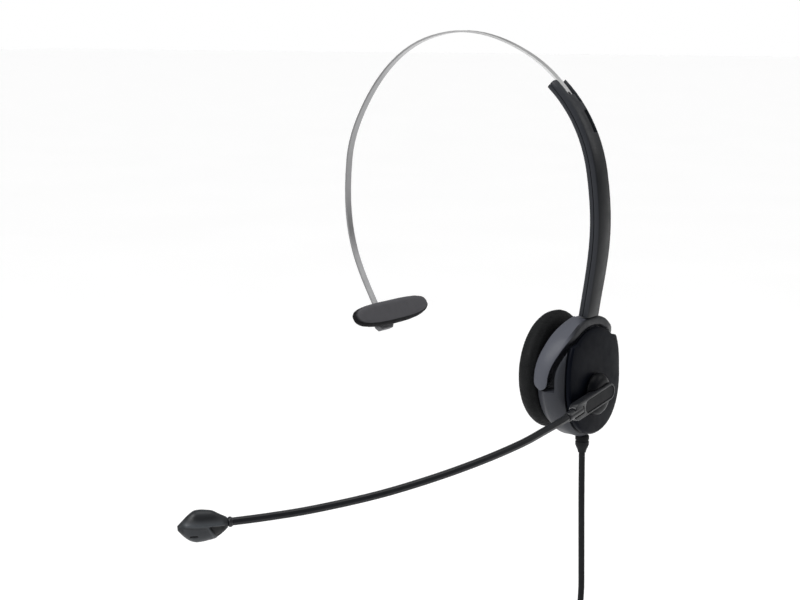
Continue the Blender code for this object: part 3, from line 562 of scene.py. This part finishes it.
def hold(obj, body, slot, *replaced):
    """Hides the nodes that an object stands for and hangs it on the body it moves with; the slot is not
    used.
    """
    if replaced:
        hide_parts(*replaced)
    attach(obj, body)


def smooth_curve(route, spacing):
    """Points about every `spacing` along a Catmull-Rom curve through the route's own points."""
    pts = [Vector(p) for p in route]
    pts = [2 * pts[0] - pts[1]] + pts + [2 * pts[-1] - pts[-2]]
    out = []
    for a, b, c, d in zip(pts, pts[1:], pts[2:], pts[3:]):
        count = max(1, round((c - b).length / spacing))
        for k in range(count):
            t = k / count
            out.append(0.5 * ((2 * b) + (c - a) * t + (2 * a - 5 * b + 4 * c - d) * t ** 2
                              + (3 * b - a - 3 * c + d) * t ** 3))
    return out + [pts[-2]]


# ---- lead ----------------------------------------------------------------------------------------
CORD_RADIUS = 1.34
CORD_SPACING = 2.7             # between neighbouring turns
CORD_ROUTE = [(58.7, 0, -33.9), (58.7, 0, -36.0), (58.75, 0, -45.0), (58.9, 0, -58.0),
              (59.15, 0, -72.0), (59.4, 0, -86.0), (59.5, 0, -94.0), (59.5, -0.4, -99.0),
              (60.0, -2.6, -104.0), (62.6, -4.9, -108.0)]
CORD_POINTS_EVERY = 5.0
COIL_CENTRE = Vector((59.5, 0.0, -128.2))
COIL_LAYERS = (18.35, 15.65, 12.95, 10.25)
TURNS_A_LAYER = 5
POINTS_A_TURN = 18
COIL_START = math.radians(28.0)   # past the top, where the lead joins the coil
BEFORE_CROSSING = 0.5             # turns that a layer makes before it starts across the bundle
STEP_IN = 0.35                    # turns in which a layer's end moves in to the next layer
TAIL_ROUTE = [(70.6, 7.6, -124.4), (73.2, 8.1, -130.0), (74.3, 7.5, -137.0), (74.2, 4.6, -144.0),
              (73.8, 1.2, -150.5), (73.8, 0, -155.9)]
TAIL_POINTS_EVERY = 3.0


def coil_points():
    """Layer after layer, outermost first: each crosses the bundle's width and the next one comes back."""
    points = []
    steps = POINTS_A_TURN * TURNS_A_LAYER
    half = CORD_SPACING * (TURNS_A_LAYER - 1) / 2
    for layer, radius in enumerate(COIL_LAYERS):
        inner = COIL_LAYERS[min(layer + 1, len(COIL_LAYERS) - 1)]
        for k in range(steps):
            turn = k / POINTS_A_TURN
            across = max(0.0, min(1.0, (turn - BEFORE_CROSSING) / (TURNS_A_LAYER - 1)))
            y = -half + 2 * half * across
            blend = max(0.0, (turn - TURNS_A_LAYER + STEP_IN) / STEP_IN)
            r = radius + (inner - radius) * blend
            a = COIL_START + 2 * math.pi * turn
            side = 1 if layer % 2 == 0 else -1
            points.append(COIL_CENTRE + Vector((r * math.sin(a), side * y, r * math.cos(a))))
    return points


def lead(paints):
    """The lead in one run: down from the cup, round the bundle, and on to the plug."""
    points = smooth_curve(CORD_ROUTE, CORD_POINTS_EVERY) + coil_points()
    points += smooth_curve([points[-1]] + TAIL_ROUTE, TAIL_POINTS_EVERY)[1:]
    curve = bpy.data.curves.new("lead", "CURVE")
    curve.dimensions = "3D"
    curve.bevel_depth = CORD_RADIUS * MM
    curve.bevel_resolution = 3
    curve.use_fill_caps = True
    spline = curve.splines.new("POLY")
    spline.points.add(len(points) - 1)
    for target, place in zip(spline.points, points):
        target.co = (*(place * MM), 1.0)
    spline.use_smooth = True
    curve.materials.append(paints["rubber"])
    obj = add("lead", curve)
    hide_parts("cord", "cord_tail", "cord_coil")
    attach(obj, "ear_cup")


# ---- padded pieces -------------------------------------------------------------------------------
CLOTH_SCALE = 10.0             # the simulation runs on a larger copy, where its settings behave
CLOTH_FRAMES = 20
CLOTH_PRESSURE = 4.0
CLOTH_STRETCH_STIFFNESS = 20.0
CLOTH_BEND_STIFFNESS = 2.0


def remeshed(obj, voxel):
    """The object's mesh again, as an even skin of `voxel` millimetres."""
    modifier = obj.modifiers.new("remesh", "REMESH")
    modifier.mode = "VOXEL"
    modifier.voxel_size = voxel * MM
    modifier.use_smooth_shade = True
    graph = bpy.context.evaluated_depsgraph_get()
    mesh = bpy.data.meshes.new_from_object(obj.evaluated_get(graph))
    obj.modifiers.clear()
    obj.data = mesh


def coordinates(mesh):
    """The mesh's points as an array, one row a point, in metres."""
    flat = np.zeros(len(mesh.vertices) * 3, np.float32)
    mesh.vertices.foreach_get("co", flat)
    return flat.reshape(-1, 3).astype(float)


def inflate(obj, pinned, cap):
    """Swells the skin with Blender's cloth: pinned(point) says what is glued, cap is the most it may move.

    Both are in millimetres. The result is written into the mesh, and the modifier is taken off again.
    """
    start = coordinates(obj.data)
    obj.data.vertices.foreach_set("co", (start * CLOTH_SCALE).astype(np.float32).ravel())
    group = obj.vertex_groups.new(name="pinned")
    group.add([k for k, p in enumerate(start / MM) if pinned(p)], 1.0, "REPLACE")
    modifier = obj.modifiers.new("cloth", "CLOTH")
    settings = modifier.settings
    settings.vertex_group_mass = "pinned"
    settings.use_pressure = True
    settings.uniform_pressure_force = CLOTH_PRESSURE
    settings.quality = 6
    settings.mass = 0.3
    settings.tension_stiffness = settings.compression_stiffness = CLOTH_STRETCH_STIFFNESS
    settings.bending_stiffness = CLOTH_BEND_STIFFNESS
    settings.effector_weights.gravity = 0.0
    modifier.point_cache.frame_start = 1
    modifier.point_cache.frame_end = CLOTH_FRAMES
    scene = bpy.context.scene
    for moment in range(1, CLOTH_FRAMES + 1):
        scene.frame_set(moment)
    graph = bpy.context.evaluated_depsgraph_get()
    moved = coordinates(obj.evaluated_get(graph).data) / CLOTH_SCALE - start
    obj.modifiers.clear()
    obj.vertex_groups.clear()
    scene.frame_set(1)
    far = np.linalg.norm(moved, axis=1, keepdims=True)
    moved *= np.minimum(1.0, cap * MM / np.maximum(far, 1e-9))
    obj.data.vertices.foreach_set("co", (start + moved).astype(np.float32).ravel())
    obj.data.update()


def sculpt(obj, move):
    """Moves each point, in millimetres, by what move(point) returns."""
    points = coordinates(obj.data) / MM
    places = [Vector(p) + move(Vector(p)) for p in points]
    obj.data.vertices.foreach_set("co", np.array([p * MM for p in places], np.float32).ravel())
    obj.data.update()
    obj.data.shade_smooth()


def bell(distance, width):
    """1 at no distance, falling smoothly to nothing over about twice the width."""
    return math.exp(-(distance / width) ** 2)


# The cushion's section, as pairs of X and the distance from the cup's axis.
CUSHION_PROFILE = [(39.3, 15.2), (39.3, 20.8), (40.1, 22.7), (41.7, 24.3), (43.6, 25.2), (45.5, 25.4),
                   (47.0, 24.7), (48.2, 23.0), (48.8, 21.6), (49.0, 19.8), (49.0, 14.3), (47.5, 12.2),
                   (44.6, 11.1), (42.0, 11.8), (40.2, 13.5)]
CUSHION_STEPS = 72
CUSHION_VOXEL = 1.3
CUSHION_GLUED_X = 48.3         # behind this the cover is fixed to its ring
CUSHION_CAP = 0.8
CUSHION_SEAM_X = 47.0
CUSHION_INNER_SEAM_RADIUS = 13.4
PUCKER_RADIUS = 13.6
PUCKERS = 34


def ear_cushion(paints):
    """A ring of foam under leatherette, seamed round its back edge and gathered a little inside."""
    low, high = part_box("ear_cushion")
    centre_z = (low.z + high.z) / 2 / MM
    rings = []
    for k in range(CUSHION_STEPS):
        a = 2 * math.pi * k / CUSHION_STEPS
        rings.append([(x, r * math.cos(a), centre_z + r * math.sin(a)) for x, r in CUSHION_PROFILE])
    obj = mesh_object("ear_cushion_cover", rings, paints["ear"], closed_rows=True)
    remeshed(obj, CUSHION_VOXEL)
    inflate(obj, lambda p: p[0] > CUSHION_GLUED_X, CUSHION_CAP)

    def move(p):
        radius = math.hypot(p.y, p.z - centre_z)
        out = Vector((0.0, p.y, p.z - centre_z)) / max(radius, 1e-6)
        angle = math.atan2(p.z - centre_z, p.y)
        outer_seam = bell(p.x - CUSHION_SEAM_X, 0.45) if radius > 20 else 0.0
        inner_seam = bell(radius - CUSHION_INNER_SEAM_RADIUS, 0.5) if p.x < 42.5 else 0.0
        folds = math.sin(PUCKERS * angle + 2 * math.sin(5 * angle))
        puckers = bell(radius - PUCKER_RADIUS, 2.2) * folds if p.x < 43 else 0.0
        soft = noise.noise(Vector((p.x, p.y, p.z)) / 6.0)
        return (out * (-0.35 * outer_seam + 0.16 * soft)
                + Vector((1, 0, 0)) * (0.35 * inner_seam + 0.10 * puckers + 0.08 * soft))

    sculpt(obj, move)
    subdivide(obj)
    hold(obj, "ear_cup", "ear_leatherette", "ear_cushion")


PAD_HALF_LENGTH = 28.9
# Half the pad's height, and the powers that square its outline off across and along: above, then below.
PAD_ABOVE = (5.6, 0.60, 0.62)
PAD_BELOW = (6.3, 0.86, 0.80)
PAD_STEPS = 72
# The pad's layers from its face to its back: how deep each lies, and how far inside the outline.
PAD_LAYERS = ((0.35, 2.4), (0.3, 1.5), (0.6, 0.7), (1.3, 0.3), (2.1, 0.2), (2.9, 0.3), (3.4, 0.9))
PAD_VOXEL = 0.8
PAD_GLUED_DEPTH = 2.8          # deeper than this the cover is fixed to the backplate
PAD_CAP = 0.45
PAD_SEAM_DEPTH = 1.25


def pad_outline(inset):
    """Nearly flat along the top and fuller along the bottom, as (along, up) pairs."""
    points = []
    for k in range(PAD_STEPS):
        a = 2 * math.pi * (k + 0.5) / PAD_STEPS
        c, s = math.cos(a), math.sin(a)
        high, power, long_power = PAD_ABOVE if s > 0 else PAD_BELOW
        points.append(((PAD_HALF_LENGTH - inset) * math.copysign(abs(c) ** long_power, c),
                       (high - inset) * math.copysign(abs(s) ** power, s)))
    return points


def temple_pad(paints):
    """A slab of foam under leatherette with a sewn edge."""
    rings = [[pad_frame(u, y, w) for y, u in pad_outline(inset)] for w, inset in PAD_LAYERS]
    obj = mesh_object("temple_pad_cover", rings, paints["pad"])
    remeshed(obj, PAD_VOXEL)
    normal = pad_frame(0, 0, 1) - pad_frame(0, 0, 0)
    face = pad_frame(0, 0, 0)
    inflate(obj, lambda p: (Vector(p) - face).dot(normal) > PAD_GLUED_DEPTH, PAD_CAP)

    def move(p):
        depth = (p - face).dot(normal)
        soft = noise.noise(p / 5.0)
        seam = bell(depth - PAD_SEAM_DEPTH, 0.35)
        inward = Vector((0.0, -p.y, 0.0)).normalized() if abs(p.y) > 22 else Vector((0, 0, 0))
        return normal * (-0.10 * soft) + inward * 0.15 * seam

    sculpt(obj, move)
    subdivide(obj)
    hold(obj, "temple_pad", "pad_leatherette", "temple_pad_cushion")


# ---- microphone ----------------------------------------------------------------------------------
MIC_NECK = Vector((3.7, -169.9, -32.9))
MIC_BEFORE = Vector((14.0, -158.5, -31.9))   # a point on the boom before it, for its direction
# Sections along the microphone: how far from the neck, then its reach above, below and in depth.
MIC_STATIONS = ((0.35, 1.9, 1.9, 1.7), (1.0, 2.4, 2.6, 2.0), (3.0, 3.5, 4.2, 2.8), (5.5, 5.2, 5.5, 3.6),
                (9.5, 6.0, 6.0, 4.2), (12.2, 6.0, 6.1, 4.2), (14.6, 4.4, 5.2, 3.8), (16.6, 2.6, 3.4, 2.9),
                (18.6, 0.9, 0.9, 1.2))


MIC_ROWS = 80
MIC_STEPS = 112
MIC_SMOOTHING = 14             # rounds of smoothing between the sections
# The painted light on the shell's back, where there is no relief.
MIC_BACK_PAINTED_LIGHT = 0.3
NECK_RING = ((-1.5, 1.55), (-1.35, 1.85), (-0.7, 2.05), (-0.1, 1.9), (0.1, 1.5), (0.5, 1.45))
NECK_STEPS = 24


def mic_frame(along, up, out):
    """A place in millimetres, from distances along the microphone, up it and out of its front."""
    forward = (MIC_NECK - MIC_BEFORE).normalized()
    side = forward.cross(Vector((0, 0, 1))).normalized()
    return MIC_NECK + forward * along + side.cross(forward) * up - side * out


def ramp(value, low, high):
    """0 up to `low` and 1 from `high` on, with a smooth rise between them."""
    t = max(0.0, min(1.0, (value - low) / (high - low)))
    return t * t * (3 - 2 * t)


def mic_relief(along, up):
    """How far the microphone's front stands out of its plain drop shape, and how much light and shade is
    painted on it there.
    """
    crest = 0.55 + 0.10 * (along - 7.0)
    below = crest - up
    body = ramp(along, 1.0, 3.0) * (1 - ramp(along, 15.5, 17.5))
    ridge = bell(below, 0.6 if below > 0 else 1.1)
    edge = 8.4 - 0.75 * max(0.0, below) ** 0.9
    scoop = ramp(below, 0.2, 0.9) * ramp(along, 0.9, 2.2) * (1 - ramp(along, edge - 0.9, edge))
    lip = ramp(below, 0.3, 0.9) * bell(along - edge - 0.2, 0.45)
    slot = bell(up + 3.0, 0.28) * ramp(along, 11.6, 12.0) * (1 - ramp(along, 14.4, 14.8))
    face = ramp(along, edge + 0.6, edge + 1.2) * (1 - ramp(along, 16.6, 17.2)) * ramp(below, 1.2, 1.7)
    brow = bell(up - crest - 2.4, 1.2)
    height = body * (0.5 * ridge - 1.3 * scoop + 0.4 * lip - 0.4 * brow) - 0.7 * slot - 0.25 * face
    # Painted highlights along the ridge, the lip and the face; painted shade in the hollow, in the slot and
    # under the brow.
    painted_light = (0.26 + 0.62 * body * ridge + 0.5 * body * lip + 0.22 * face
            - 0.30 * scoop - 0.6 * slot - 0.14 * brow)
    return height, max(0.0, min(1.0, painted_light))


def mic_station(along):
    """The microphone's reach above, below and in depth, read off between its sections."""
    for low, high in zip(MIC_STATIONS, MIC_STATIONS[1:]):
        if along <= high[0]:
            t = (along - low[0]) / (high[0] - low[0])
            return [a + (b - a) * t for a, b in zip(low[1:], high[1:])]
    return MIC_STATIONS[-1][1:]


def microphone(paints):
    """The drop-shaped shell: a crest along its front, a hollow below it, a stepped face and a port slot."""
    rings = []
    painted_lights = []
    first, last = MIC_STATIONS[0][0], MIC_STATIONS[-1][0]
    alongs = [first + (last - first) * k / MIC_ROWS for k in range(MIC_ROWS + 1)]
    sizes = np.array([mic_station(x) for x in alongs])
    for _ in range(MIC_SMOOTHING):
        sizes[1:-1] = (sizes[:-2] + 2 * sizes[1:-1] + sizes[2:]) / 4
    for along, (above, below, depth) in zip(alongs, sizes):
        ring = []
        for k in range(MIC_STEPS):
            a = 2 * math.pi * k / MIC_STEPS
            c, s = math.cos(a), math.sin(a)
            up, out = (above if s > 0 else below) * s, depth * c
            height, painted_light = mic_relief(along, up) if c > 0 else (0.0, MIC_BACK_PAINTED_LIGHT)
            out += min(1.0, 2.2 * c) * height if c > 0 else 0.0
            painted_lights.append(painted_light)
            ring.append(mic_frame(along, up, out))
        rings.append(ring)
    shell = mesh_object("microphone_shell", rings, paints["mic"])
    # Each point carries the painted light and shade that the shell's material reads.
    shell.data.attributes.new("painted_light", "FLOAT", "POINT").data.foreach_set("value", painted_lights)
    hold(shell, "boom", "black_plastic", "mic_cover_outer", "mic_housing_inner")


def neck_ring(paints):
    """The small collar where the boom meets the microphone."""
    rings = []
    for along, radius in NECK_RING:
        angles = [2 * math.pi * k / NECK_STEPS for k in range(NECK_STEPS)]
        rings.append([mic_frame(along, radius * math.sin(a), radius * math.cos(a)) for a in angles])
    ring = mesh_object("microphone_neck_ring", rings, paints["holder"])
    subdivide(ring)
    hold(ring, "boom", "cup_plastic")


# ---- all of it -----------------------------------------------------------------------------------
paints = materials()
camera()
lead(paints)
studio()
finish_nodes(paints)
ear_cushion(paints)
temple_pad(paints)
microphone(paints)
neck_ring(paints)
